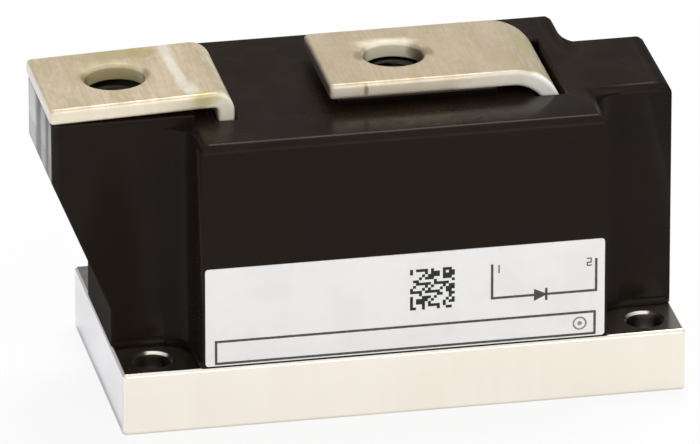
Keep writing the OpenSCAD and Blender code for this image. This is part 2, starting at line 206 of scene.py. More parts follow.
class EffectGroup(Graph):
    """Node group of one shared effect, made when the effect is first placed."""

    VECTORS = ("Place", "Stretch", "Centre", "Reach", "Normal")
    INPUTS: dict[Effect, tuple[str, ...]] = {
        Effect.GRAIN: ("Place", "Scale"),
        Effect.STREAKS: ("Place", "Stretch", "Scale"),
        Effect.PATCHES: ("Place", "Scale", "Low", "High"),
        Effect.SPOT: ("Place", "Centre", "Reach", "Ragged"),
        Effect.EDGE: ("Pointiness", "Place", "Low", "High"),
        Effect.DUST: ("Normal", "Place", "Scale"),
    }
    OUTPUT = "Value"
    WIDE_STREAKS = 0.17
    BORDER = (1.0, 0.35)
    BORDER_WAVES = 420.0
    WEAR_AND_HIGHLIGHT_WAVES = 900.0
    DRIFTS = (0.35, 0.75)
    LOOKS_UP = (0.6, 0.95)

    def __init__(self, tree: bpy.types.NodeTree) -> None:
        """Start the group with its inputs."""
        super().__init__(tree)
        self.entry = self.add("NodeGroupInput").outputs

    @classmethod
    def made(cls, effect: Effect) -> bpy.types.NodeTree:
        """Give an effect's node group, made at the first call.

        Args:
            effect: Effect to look up.

        Returns:
            The node group.
        """
        found = bpy.data.node_groups.get(effect.value)
        if found:
            return found
        tree = bpy.data.node_groups.new(effect.value, "ShaderNodeTree")
        for name in cls.INPUTS[effect]:
            kind = "NodeSocketVector" if name in cls.VECTORS else "NodeSocketFloat"
            tree.interface.new_socket(name, in_out="INPUT", socket_type=kind)
        tree.interface.new_socket(cls.OUTPUT, in_out="OUTPUT", socket_type="NodeSocketFloat")
        group = cls(tree)
        fill: Callable[[], Socket] = getattr(group, effect.name.lower())
        group.add("NodeGroupOutput", {cls.OUTPUT: fill()})
        return tree

    def grain(self) -> Socket:
        """Fill the fine grain: a close pebbled height with small pits.

        Returns:
            The height.
        """
        place, waves = self.entry["Place"], self.entry["Scale"]
        soft = self.noise(place, waves, 4.0)
        cells = self.add("ShaderNodeTexVoronoi", {"Vector": place, "Scale": waves}).outputs["Distance"]
        return self.total(soft, 0.6, cells, 0.5)

    def streaks(self) -> Socket:
        """Fill the brushed streaks: noise drawn out along one direction.

        Returns:
            The streak value.
        """
        drawn = self.vector("MULTIPLY", self.entry["Place"], self.entry["Stretch"])[0]
        fine = self.noise(drawn, self.entry["Scale"], 4.0)
        wide = self.noise(drawn, self.times(self.entry["Scale"], self.WIDE_STREAKS), 2.0)
        return self.total(fine, 0.5, wide, 0.5)

    def patches(self) -> Socket:
        """Fill the tone patches: cloudy areas with soft borders."""
        cloud = self.noise(self.entry["Place"], self.entry["Scale"], 5.0)
        return self.step(cloud, self.entry["Low"], self.entry["High"])

    def spot(self) -> Socket:
        """Fill the soft spot: one area with a ragged border.

        Returns:
            The mask.
        """
        away = self.vector("SUBTRACT", self.entry["Place"], self.entry["Centre"])[0]
        share = self.vector("DIVIDE", away, self.entry["Reach"])[0]
        length = self.vector("LENGTH", share)["Value"]
        rough = self.math("SUBTRACT", self.noise(self.entry["Place"], self.BORDER_WAVES, 4.0), 0.5)
        border = self.math("ADD", length, self.times(rough, self.entry["Ragged"]))
        return self.step(border, *self.BORDER)

    def edge(self) -> Socket:
        """Fill the edge mask: convex edges, broken up by noise, for rubbed edges and the painted highlight
        along them.
        """
        convex = self.step(self.entry["Pointiness"], self.entry["Low"], self.entry["High"])
        return self.times(convex, self.scaled(self.noise(self.entry["Place"], self.WEAR_AND_HIGHLIGHT_WAVES), 0.4, 1.0))

    def dust(self) -> Socket:
        """Fill the settled dust: faces that look up, in thin drifts."""
        drift = self.step(self.noise(self.entry["Place"], self.entry["Scale"], 6.0), *self.DRIFTS)
        return self.times(self.step(self.upward(self.entry["Normal"]), *self.LOOKS_UP), drift)


class Surface(Graph):
    """Tree of one material, with its shader and the place on the object in metres."""

    def __init__(self, material: bpy.types.Material) -> None:
        """Start the tree with the shader.

        Args:
            material: New material.
        """
        material.use_nodes = True
        super().__init__(material.node_tree)
        self.shader = self.add("ShaderNodeBsdfPrincipled")
        self.add("ShaderNodeOutputMaterial", {"Surface": self.shader.outputs[0]})
        self.place = self.add("ShaderNodeTexCoord").outputs["Object"]

    def set(self, name: str, value: Feed) -> None:
        """Fill one input of the shader."""
        self.feed(self.shader.inputs[name], value)

    def bump(self, height: Socket, strength: float, depth: float) -> None:
        """Raise the surface by a height from 0 to 1, with its real depth in metres."""
        feeds = {"Strength": strength, "Distance": depth, "Height": height}
        self.set("Normal", self.add("ShaderNodeBump", feeds).outputs["Normal"])

    def grainy(self, waves: float) -> Socket:
        """Place the fine grain."""
        return self.effect(Effect.GRAIN, Place=self.place, Scale=waves)

    def streaky(self, stretch: Triple, waves: float) -> Socket:
        """Place the brushed streaks."""
        return self.effect(Effect.STREAKS, Place=self.place, Stretch=stretch, Scale=waves)

    def patchy(self, waves: float, low: float, high: float) -> Socket:
        """Place the tone patches."""
        return self.effect(Effect.PATCHES, Place=self.place, Scale=waves, Low=low, High=high)


@dataclass(frozen=True)
class Finish:
    """A finish that makes one material for a slot."""

    slot: Slot

    def material(self) -> bpy.types.Material:
        """Give the finish's material, made at the first call.

        Returns:
            The material, named for its slot.
        """
        name = self.material_name()
        material = bpy.data.materials.get(name)
        if not material:
            material = bpy.data.materials.new(name)
            self.wire(Surface(material))
        return material

    def material_name(self) -> str:
        """Name the material after its slot, apart from the frame's own."""
        return f"{self.slot.value}_finish"

    def wire(self, surface: Surface) -> None:
        """Connect the finish's own nodes, in each finish's own way."""
        raise NotImplementedError


@dataclass(frozen=True)
class Zone:
    """One area of a surface with a soft border."""

    centre: Triple
    reach: Triple
    strength: float
    ragged: float = 0.8

    def mask(self, graph: Graph, place: Socket) -> Socket:
        """Mask the zone, up to its strength."""
        feeds = {"Place": place, "Centre": self.centre, "Reach": self.reach, "Ragged": self.ragged}
        return graph.times(graph.effect(Effect.SPOT, **feeds), self.strength)


@dataclass(frozen=True)
class Spot(Zone):
    """One stain, scuff, painted highlight or painted shade on a plated surface; it can take the metallic sheen
    away.
    """

    colour: Triple = (0.5, 0.5, 0.5)
    dull: bool = False


@dataclass(frozen=True)
class PaintedFaceLight:
    """Painted light or shade on the faces that look one way."""

    direction: Triple
    colour: Triple
    strength: float = 1.0
    facing: Point = (0.55, 0.92)

    def mask(self, graph: Graph, normal: Socket) -> Socket:
        """Mask the faces, up to the strength of the painted light."""
        along = graph.vector("DOT_PRODUCT", normal, self.direction)["Value"]
        return graph.times(graph.step(along, *self.facing), self.strength)


@dataclass(frozen=True)
class PlatedMetal(Finish):
    """Plated metal with brushed streaks, cloudy tarnish, painted face light, rubbed edges with a painted
    highlight, stains and spots of painted light and shade.
    """

    tint: Triple
    tarnish: Triple
    worn_and_highlit: Triple
    roughness: Point
    stretch: Triple = (1.0, 0.03, 0.08)
    streak_scale: float = 2600.0
    streak_share: float = 0.35
    patch_scale: float = 130.0
    patch_share: float = 0.5
    mottle_share: float = 0.0
    wear: float = 0.6
    depth: float = 0.00002
    metallic: float = 1.0
    face_lights: tuple[PaintedFaceLight, ...] = ()
    spots: tuple[Spot, ...] = ()
    variant: str = ""

    STREAKS = (0.38, 0.64)
    PATCHES = (0.42, 0.68)
    MOTTLES = (0.4, 0.62)
    MOTTLE_STRETCH = (1.0, 0.3, 1.0)
    MOTTLE_FINENESS = 5
    CONVEX = (0.52, 0.6)
    LEVEL = (0.92, 0.99)
    GRAIN_SCALE = 3200.0
    GRAIN_SHARE = 0.3
    RELIEF = 0.35

    def material_name(self) -> str:
        """Name the material after its slot and its variant."""
        return f"{self.slot.value}_{self.variant}finish"

    def wire(self, surface: Surface) -> None:
        """Connect streaks, tarnish, painted face light, stains and spots of painted light and shade, and
        rubbed edges with a painted highlight.

        Args:
            surface: Tree of the material.
        """
        streak = surface.streaky(self.stretch, self.streak_scale)
        streaked = surface.step(streak, *self.STREAKS)
        patch = surface.patchy(self.patch_scale, *self.PATCHES)
        colour = surface.blend(surface.times(streaked, self.streak_share), self.tint, self.tarnish)
        colour = surface.blend(surface.times(patch, self.patch_share), colour, self.tarnish)
        if self.mottle_share:
            drawn = surface.streaky(self.MOTTLE_STRETCH, self.patch_scale * self.MOTTLE_FINENESS)
            mottle = surface.times(surface.step(drawn, *self.MOTTLES), self.mottle_share)
            colour = surface.blend(mottle, colour, self.tarnish)
        faces = surface.add("ShaderNodeNewGeometry").outputs
        # Painted light: faces that look one way take a lighter or darker colour.
        for tone in self.face_lights:
            colour = surface.blend(tone.mask(surface, faces["Normal"]), colour, tone.colour)
        metal: Feed = self.metallic
        for spot in self.spots:
            mask = spot.mask(surface, surface.place)
            colour = surface.blend(mask, colour, spot.colour)
            if spot.dull:
                metal = surface.math("SUBTRACT", metal, mask)
        # Rubbed edges, lighter also as a painted highlight along them.
        surface.set("Base Color", surface.blend(self.worn_and_highlit_edges(surface, faces), colour, self.worn_and_highlit))
        surface.set("Roughness", surface.scaled(surface.total(streaked, 0.5, patch, 0.5), *self.roughness))
        surface.set("Metallic", metal)
        grain = surface.times(surface.grainy(self.GRAIN_SCALE), self.GRAIN_SHARE)
        surface.bump(surface.math("ADD", streak, grain), self.RELIEF, self.depth)

    def worn_and_highlit_edges(self, surface: Surface, faces: Any) -> Socket:
        """Mask the rubbed edges, which also carry a painted highlight, clear of the faces that look straight
        up.

        Args:
            surface: Tree of the material.
            faces: Outputs of a Geometry node.

        Returns:
            The mask, up to the finish's strength for rubbed and highlit edges.
        """
        low, high = self.CONVEX
        feeds = {"Pointiness": faces["Pointiness"], "Place": surface.place, "Low": low, "High": high}
        level = surface.step(surface.upward(faces["Normal"]), *self.LEVEL)
        edge = surface.times(surface.effect(Effect.EDGE, **feeds), surface.math("SUBTRACT", 1.0, level))
        return surface.times(edge, self.wear)


@dataclass(frozen=True)
class MouldedPlastic(Finish):
    """Moulded plastic or fired ceramic with a close grain, slight clouding and settled dust."""

    colour: Triple
    cloud: Triple
    dust: Triple
    roughness: Point
    specular: float
    grain_scale: float = 2200.0
    depth: float = 0.00002
    dust_share: float = 0.35
    polished: tuple[Zone, ...] = ()
    matt: tuple[Zone, ...] = ()

    CLOUD_SCALE = 70.0
    CLOUDS = (0.35, 0.75)
    DUST_SCALE = 160.0
    COAT_ROUGHNESS = 0.12
    RELIEF = 0.3

    def wire(self, surface: Surface) -> None:
        """Connect clouding, dust and grain.

        Args:
            surface: Tree of the material.
        """
        place = surface.place
        clouds = surface.patchy(self.CLOUD_SCALE, *self.CLOUDS)
        colour = surface.blend(clouds, self.colour, self.cloud)
        normal = surface.add("ShaderNodeNewGeometry").outputs["Normal"]
        dust = surface.effect(Effect.DUST, Normal=normal, Place=place, Scale=self.DUST_SCALE)
        surface.set("Base Color", surface.blend(surface.times(dust, self.dust_share), colour, self.dust))
        grain = surface.grainy(self.grain_scale)
        rough = surface.scaled(surface.total(clouds, 0.5, grain, 0.5), *self.roughness)
        for zone in self.matt:
            rough = surface.math("MAXIMUM", rough, zone.mask(surface, place))
        surface.set("Roughness", rough)
        surface.set("Specular IOR Level", self.specular)
        if self.polished:
            gloss: Feed = 0.0
            for zone in self.polished:
                gloss = surface.math("ADD", gloss, zone.mask(surface, place))
            surface.set("Coat Weight", gloss)
            surface.set("Coat Roughness", self.COAT_ROUGHNESS)
        surface.bump(grain, self.RELIEF, self.depth)


@dataclass(frozen=True)
class LabelFilm(Finish):
    """Matt white film with a fibrous grain and slightly handled patches."""

    colour: Triple = (0.95, 0.94, 0.94)
    handled: Triple = (0.82, 0.81, 0.81)
    handled_share: float = 0.3
    patch_scale: float = 110.0
    patches: Point = (0.4, 0.7)
    fibre_stretch: Triple = (0.5, 1.0, 1.0)
    fibre_scale: float = 3000.0
    roughness: Point = (0.42, 0.55)
    specular: float = 0.3
    relief: float = 0.2
    depth: float = 0.00001

    def wire(self, surface: Surface) -> None:
        """Connect the handled patches and the fibres.

        Args:
            surface: Tree of the material.
        """
        patch = surface.patchy(self.patch_scale, *self.patches)
        fibre = surface.streaky(self.fibre_stretch, self.fibre_scale)
        shade = surface.times(surface.math("ADD", patch, fibre), self.handled_share)
        surface.set("Base Color", surface.blend(shade, self.colour, self.handled))
        surface.set("Roughness", surface.scaled(fibre, *self.roughness))
        surface.set("Specular IOR Level", self.specular)
        surface.bump(fibre, self.relief, self.depth)


@dataclass(frozen=True)
class PrintInk(Finish):
    """Print whose coverage varies a little."""

    shade: Shade
    thinning: Triple = (1.7, 1.7, 1.7)
    cover_scale: float = 1500.0
    cover: Point = (0.4, 0.7)
    roughness: Point = (0.45, 0.6)
    specular: float = 0.3

    def material_name(self) -> str:
        """Name the material after its shade of print."""
        return f"label_{self.shade.name.lower()}_print"

    def wire(self, surface: Surface) -> None:
        """Connect the coverage.

        Args:
            surface: Tree of the material.
        """
        full = self.shade.value
        cover = surface.patchy(self.cover_scale, *self.cover)
        surface.set("Base Color", surface.blend(cover, full, toned(full, self.thinning)))
        surface.set("Roughness", surface.scaled(cover, *self.roughness))
        surface.set("Specular IOR Level", self.specular)


@dataclass(frozen=True)
class Rounding:
    """Width of the rounding along some edges of a solid."""

    applies: Callable[[Edge], bool]
    radius: float
    segments: int = 3


class Modelling:
    """Mesh helpers that the sub-assemblies share."""

    @staticmethod
    def piece(name: str, mesh: bpy.types.Mesh, finish: Finish) -> Piece:
        """Put a new mesh on the module.

        Args:
            name: Name of the piece.
            mesh: Mesh in metres, in place.
            finish: Finish of the piece.

        Returns:
            The piece, riding on the module's body.
        """
        piece = bpy.data.objects.new(name, mesh)
        bpy.context.scene.collection.objects.link(piece)
        mesh.materials.append(finish.material())
        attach(piece, BODY)
        return piece

    @staticmethod
    def dress(node: Piece, finish: Finish) -> None:
        """Give a solid of the frame its material."""
        node.data.materials.clear()
        node.data.materials.append(finish.material())

    @staticmethod
    def rounded(
        name: str,
        node: Piece,
        roundings: Sequence[Rounding],
        finish: Finish,
        settled: Callable[[Vector], Vector] = Vector.copy,
    ) -> Piece:
        """Put a copy of a solid with rounded edges in the solid's place.

        Args:
            name: Name of the copy.
            node: Solid of the frame.
            roundings: Roundings in the order in which they are made.
            finish: Finish of the copy.
            settled: Gives a point's place before the edges are rounded.

        Returns:
            The copy, which replaces the solid.
        """
        work = bmesh.new()
        points = [work.verts.new(settled(point.co)) for point in node.data.vertices]
        for polygon in node.data.polygons:
            work.faces.new([points[i] for i in polygon.vertices])
        bmesh.ops.remove_doubles(work, verts=work.verts, dist=WELD)
        bmesh.ops.dissolve_limit(work, angle_limit=FLAT_ANGLE, verts=work.verts, edges=work.edges)
        for face in work.faces:
            face.smooth = True
        for rounding in roundings:
            made = bmesh.ops.bevel(
                work,
                geom=[edge for edge in work.edges if Modelling.is_sharp(edge) and rounding.applies(edge)],
                offset=rounding.radius,
                offset_type="OFFSET",
                segments=rounding.segments,
                profile=0.5,
                affect="EDGES",
                clamp_overlap=False,
                miter_outer="ARC",
            )
            if rounding.segments == 1:
                Modelling.part(set(made["faces"]))
        mesh = bpy.data.meshes.new(name)
        work.to_mesh(mesh)
        work.free()
        piece = Modelling.piece(name, mesh, finish)
        normals = piece.modifiers.new("normals", "WEIGHTED_NORMAL")
        normals.weight = FLAT_FACE_WEIGHT
        normals.keep_sharp = True
        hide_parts(node.name)
        return piece

    @staticmethod
    def part(faces: set[bmesh.types.BMFace]) -> None:
        """Shade a band of faces apart from the faces beside it.

        Args:
            faces: Faces of the band.
        """
        for face in faces:
            for edge in face.edges:
                edge.smooth = all(other in faces for other in edge.link_faces)

    @staticmethod
    def is_sharp(edge: Edge) -> bool:
        """Say whether an edge stands out sharply."""
        return edge.is_manifold and edge.is_convex and edge.calc_face_angle() > SHARP_ANGLE

    @staticmethod
    def print_mesh(name: str, outlines: Sequence[Outline], face_y: float, thickness: float) -> bpy.types.Mesh:
        """Raise flat outlines on the label into thin closed solids.

        Args:
            name: Name of the mesh.
            outlines: Outlines in millimetres, as (x, z) points.
            face_y: Label's front face in metres.
            thickness: Thickness of the print in metres.

        Returns:
            The mesh.
        """
        work = bmesh.new()
        for outline in outlines:
            back = [work.verts.new((x * MM, face_y, z * MM)) for x, z in outline]
            front = [work.verts.new((x * MM, face_y - thickness, z * MM)) for x, z in outline]
            work.faces.new(back)
            work.faces.new(front[::-1])
            for i in range(len(back)):
                work.faces.new((back[i - 1], front[i - 1], front[i], back[i]))
        bmesh.ops.recalc_face_normals(work, faces=work.faces)
        mesh = bpy.data.meshes.new(name)
        work.to_mesh(mesh)
        work.free()
        return mesh


class Outlines:
    """Flat outlines for the print, in millimetres."""

    @staticmethod
    def box(x0: float, z0: float, x1: float, z1: float) -> Outline:
        """Give a rectangle by two corners."""
        return [(x0, z0), (x1, z0), (x1, z1), (x0, z1)]

    @staticmethod
    def frame(x0: float, z0: float, x1: float, z1: float, line: float) -> list[Outline]:
        """Give the four bars of a rectangular frame.

        Args:
            x0: Left side.
            z0: Lower side.
            x1: Right side.
            z1: Upper side.
            line: Width of the line.

        Returns:
            The bars, which meet without overlap.
        """
        return [
            Outlines.box(x0, z0, x1, z0 + line),
            Outlines.box(x0, z1 - line, x1, z1),
            Outlines.box(x0, z0 + line, x0 + line, z1 - line),
            Outlines.box(x1 - line, z0 + line, x1, z1 - line),
        ]

    @staticmethod
    def circle(x: float, z: float, r: float, steps: int) -> Outline:
        """Give a round outline by its centre, radius and number of points."""
        turns = [2 * math.pi * i / steps for i in range(steps)]
        return [(x + r * math.cos(a), z + r * math.sin(a)) for a in turns]

    @staticmethod
    def ring(x: float, z: float, r: float, line: float, steps: int = 48) -> list[Outline]:
        """Give a round line as short bars side by side.

        Args:
            x: Centre along X.
            z: Centre along Z.
            r: Outer radius.
            line: Width of the line.
            steps: Number of bars.

        Returns:
            The bars.
        """
        outer = Outlines.circle(x, z, r, steps)
        inner = Outlines.circle(x, z, r - line, steps)
        return [[outer[i - 1], outer[i], inner[i], inner[i - 1]] for i in range(steps)]


@dataclass
class SubAssembly:
    """Base of the module's sub-assemblies."""

    def build(self, nodes: Nodes) -> list[Piece]:
        """Build and dress the sub-assembly from the frame's solids, and give the pieces that it shows."""
        raise NotImplementedError


@dataclass
class BasePlate(SubAssembly):
    """Nickel-plated copper plate that stands on the heat sink."""

    edge_r: float = 0.0001
    mouth: float = 0.00045
    half: Point = (0.052, 0.025)
    rim: float = 0.001
    top_z: float = 0.0118
    hole_at: Point = (0.0455, 0.019)
    hole_r: float = 0.0033
    hole_slack: float = 1.05
    # Painted shade inside the mounting holes: its height, reach and colour.
    shade_z: float = 0.0054
    shade_reach: Triple = (0.005775, 0.005775, 0.00756)
    shade_colour: Triple = (0.01, 0.008, 0.006)

    def build(self, nodes: Nodes) -> list[Piece]:
        """Round the plate's outer edges, chamfer its mounting holes and dress it."""
        roundings = (Rounding(self.is_hole_mouth, self.mouth, 1), Rounding(self.is_outer_edge, self.edge_r))
        return [Modelling.rounded("plated_base", nodes["base_plate"], roundings, self.finish())]

    def is_hole_mouth(self, edge: Edge) -> bool:
        """Say whether an edge runs round the upper mouth of a mounting hole.

        Args:
            edge: Edge to judge.

        Returns:
            True for a mouth's edge.
        """
        x, y = self.hole_at
        reach = self.hole_r * self.hole_slack
        ends = [vert.co for vert in edge.verts]
        near = all(math.hypot(abs(end.x) - x, abs(end.y) - y) < reach for end in ends)
        return near and all(end.z > self.top_z - WELD for end in ends)

    def is_outer_edge(self, edge: Edge) -> bool:
        """Say whether an edge lies on the plate's outline."""
        x, y = (half - self.rim for half in self.half)
        return all(abs(vert.co.x) > x or abs(vert.co.y) > y for vert in edge.verts)

    def finish(self) -> PlatedMetal:
        """Give the plate's satin plating, with painted shade inside the mounting holes below their mouths.

        Returns:
            The finish.
        """
        x, y = self.hole_at
        holes = [(side_x * x, side_y * y, self.shade_z) for side_x in (-1, 1) for side_y in (-1, 1)]
        return PlatedMetal(
            slot=Slot.BASE,
            tint=(0.94, 0.875, 0.785),
            tarnish=(0.88, 0.8, 0.68),
            worn_and_highlit=(0.96, 0.93, 0.89),
            roughness=(0.15, 0.26),
            stretch=(1.0, 1.0, 0.12),
            streak_scale=420.0,
            streak_share=0.22,
            patch_scale=40.0,
            patch_share=0.3,
            depth=0.000003,
            # Painted sheen: the left end face tinted cool, as if it mirrored the cool light from the left.
            face_lights=(PaintedFaceLight((-1.0, 0.0, 0.0), (0.77, 0.76, 0.8)),),
            # Painted shade: each mounting hole darkened below its mouth.
            spots=tuple(Spot(hole, self.shade_reach, 0.97, 0.0, self.shade_colour) for hole in holes),
        )


@dataclass
class Housing(SubAssembly):
    """Moulded housing with its overhang, plain end and strap slots."""

    edge_r: float = 0.00048
    corner_reach: Point = (0.0005, 0.0013)
    corners: tuple[Triple, ...] = (
        (-0.0373, 0.0247, 0.0538),
        (0.0373, 0.0247, 0.0538),
        (0.0518, 0.0121, 0.0538),
        (-0.0624, 0.0121, 0.0448),
        (-0.0093, 0.0103, 0.057),
        (0.0201, 0.0103, 0.057),
    )
    block_half: Point = (0.0373, 0.0247)
    waist_half: Point = (0.0518, 0.0121)
    hollow_r: float = 0.0052
    hollow_slack: float = 0.0002
    foot_z: float = 0.0119
    skin: float = 0.001
    top_z: float = 0.0551

    def build(self, nodes: Nodes) -> list[Piece]:
        """Round the outer edges in a copy of the solid, and dress it."""
        roundings = (Rounding(self.is_outer_edge, self.edge_r, 4),)
        return [Modelling.rounded("moulded_housing", nodes["housing"], roundings, self.finish(), self.squared)]

    def squared(self, point: Vector) -> Vector:
        """Move a point of a rounded upright edge out to the sharp corner, to be rounded with the others.

        Args:
            point: Point of the solid.

        Returns:
            The corner at or near the point's height, or the point itself away from the corners.
        """
        across, up = self.corner_reach
        for x, y, z in self.corners:
            if max(abs(point.x - x), abs(abs(point.y) - y)) < across + WELD:
                return Vector((x, math.copysign(y, point.y), z if abs(point.z - z) < up else point.z))
        return point

    def is_outer_edge(self, edge: Edge) -> bool:
        """Say whether an edge is an outer one, clear of the hollow corners and the foot.

        Args:
            edge: Edge to judge.

        Returns:
            True where the edge is to be rounded.
        """
        ends = [vert.co for vert in edge.verts]
        if all(end.z < self.foot_z for end in ends):
            return False
        return not (all(self.in_hollow(end) for end in ends) or all(self.is_inside(end) for end in ends))

    def in_hollow(self, point: Vector) -> bool:
        """Say whether a point lies in a hollow corner beside the main block."""
        shares = (abs(point.x) - self.block_half[0], abs(point.y) - self.waist_half[1])
        return all(-self.hollow_slack < share < self.hollow_r + self.hollow_slack for share in shares)

    def is_inside(self, point: Vector) -> bool:
        """Say whether a point lies inside the walls, where nothing shows.

        Args:
            point: Point to judge.

        Returns:
            True below the roof and inside the block or the waist.
        """
        walls = (self.block_half, self.waist_half)
        within = any(abs(point.x) < x - self.skin and abs(point.y) < y - self.skin for x, y in walls)
        return within and point.z < self.top_z - self.skin

    @staticmethod
    def finish() -> MouldedPlastic:
        """Give the housing's satin brown-black plastic, glossier on the overhang's end and the roof.

        Returns:
            The finish.
        """
        return MouldedPlastic(
            slot=Slot.HOUSING,
            colour=(0.0142, 0.0092, 0.006),
            cloud=(0.012, 0.0079, 0.0053),
            dust=(0.03, 0.02, 0.013),
            roughness=(0.22, 0.34),
            specular=0.085,
            polished=(
                Zone((-0.0624, 0.008, 0.051), (0.003, 0.006, 0.02), 0.9, 0.3),
                Zone((-0.0624, -0.0035, 0.051), (0.003, 0.0035, 0.02), 0.6, 0.3),
                Zone((-0.0624, -0.0105, 0.051), (0.003, 0.0022, 0.02), 0.45, 0.3),
                Zone((0.014, -0.016, 0.057), (0.045, 0.008, 0.004), 0.6, 0.3),
            ),
            matt=(
                Zone((-0.0518, 0.0, 0.022), (0.0095, 0.05, 0.045), 0.9, 0.0),
                Zone((0.0515, 0.0, 0.0565), (0.0045, 0.05, 0.005), 0.9, 0.0),
                Zone((0.0372, 0.018, 0.0562), (0.005, 0.022, 0.005), 0.9, 0.0),
            ),
        )


@dataclass
class Label(SubAssembly):
    """White film on the front with its printed circuit, frame, ring mark and code patch."""

    print_t: float = 0.00003
    line: float = 0.45
    frame_box: tuple[float, float, float, float] = (-35.1, 12.35, 35.2, 17.1)
    circuit_x: Point = (15.95, 35.2)
    circuit_low: float = 21.1
    circuit_tops: Point = (27.8, 27.4)
    diode_x: Point = (23.7, 26.2)
    diode_half: float = 1.2
    ring_at: Point = (32.2, 14.75)
    ring_r: float = 1.3
    ring_line: float = 0.3
    dot_r: float = 0.4
    dot_steps: int = 24
    code_at: Point = (0.8, 20.0)
    code_size: Point = (8.25, 8.0)
    code_cells: int = 15
    digit_size: Point = (0.9, 1.6)
    digit_line: float = 0.22
    digit_top: float = 27.6
    digit_gaps: Point = (1.15, 1.75)

    def build(self, nodes: Nodes) -> list[Piece]:
        """Dress the film and lay the print on it.

        Args:
            nodes: Solids of the frame by name.

        Returns:
            The film and its print.
        """
        film = nodes["label"]
        Modelling.dress(film, LabelFilm(slot=Slot.LABEL))
        face_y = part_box("label")[0].y
        prints = (
            ("label_circuit", self.circuit(), Shade.GREY),
            ("label_frame", Outlines.frame(*self.frame_box, self.line), Shade.GREY),
            ("label_ring_mark", self.ring_mark(), Shade.PALE),
            ("label_code_patch", self.code_patch(), Shade.BLACK),
            ("label_digits", self.digits(), Shade.GREY),
        )
        made = [film]
        for name, outlines, shade in prints:
            mesh = Modelling.print_mesh(name, outlines, face_y, self.print_t)
            made.append(Modelling.piece(name, mesh, PrintInk(slot=Slot.LABEL, shade=shade)))
        return made

    def circuit(self) -> list[Outline]:
        """Draw the diode between its two terminal lines.

        Returns:
            The outlines of the lines and of the diode.
        """
        half = self.line / 2
        low, high = self.circuit_low - half, self.circuit_low + half
        foot, head = self.circuit_low - self.diode_half, self.circuit_low + self.diode_half
        left, right = self.circuit_x
        start, end = self.diode_x
        bar = end - self.line
        return [
            Outlines.box(left - half, low, left + half, self.circuit_tops[0]),
            Outlines.box(right - half, low, right + half, self.circuit_tops[1]),
            Outlines.box(left + half, low, start, high),
            Outlines.box(end, low, right - half, high),
            [(start, foot), (bar, low), (bar, high), (start, head)],
            Outlines.box(bar, foot, end, head),
        ]

    def ring_mark(self) -> list[Outline]:
        """Draw the ring with its centre dot."""
        dot = Outlines.circle(*self.ring_at, self.dot_r, self.dot_steps)
        return Outlines.ring(*self.ring_at, self.ring_r, self.ring_line) + [dot]

    def is_dark(self, column: int, row: int) -> bool:
        """Say whether the made-up formula of the code patch darkens a cell."""
        mixed = 7 * column**2 + 5 * row**2 + 3 * column * row + 11 * column + 2 * row
        return column < self.code_cells and mixed % 17 < 9

    def code_patch(self) -> list[Outline]:
        """Fill a patch with a plain made-up scatter of cells.

        Returns:
            The outlines of the dark runs, row by row.
        """
        x, z = self.code_at
        wide, high = (size / self.code_cells for size in self.code_size)
        outlines: list[Outline] = []
        for row in range(self.code_cells):
            low = z + row * high
            start = None
            for column in range(self.code_cells + 1):
                dark = self.is_dark(column, row)
                if dark and start is None:
                    start = column
                if not dark and start is not None:
                    outlines.append(Outlines.box(x + start * wide, low, x + column * wide, low + high))
                    start = None
        return outlines

    def digits(self) -> list[Outline]:
        """Draw the terminal numbers 1 and 2 beside the tops of the lines.

        Returns:
            The outlines of the strokes.
        """
        line, top = self.digit_line, self.digit_top
        low, middle = top - self.digit_size[1], top - self.digit_size[1] / 2
        one = self.circuit_x[0] + self.digit_gaps[0]
        two = self.circuit_x[1] - self.digit_gaps[1]
        end = two + self.digit_size[0]
        return [
            Outlines.box(one, low, one + line, top),
            Outlines.box(two, top - line, end, top),
            Outlines.box(end - line, middle, end, top - line),
            Outlines.box(two, middle - line, end, middle),
            Outlines.box(two, low + line, two + line, middle - line),
            Outlines.box(two, low, end, low + line),
        ]


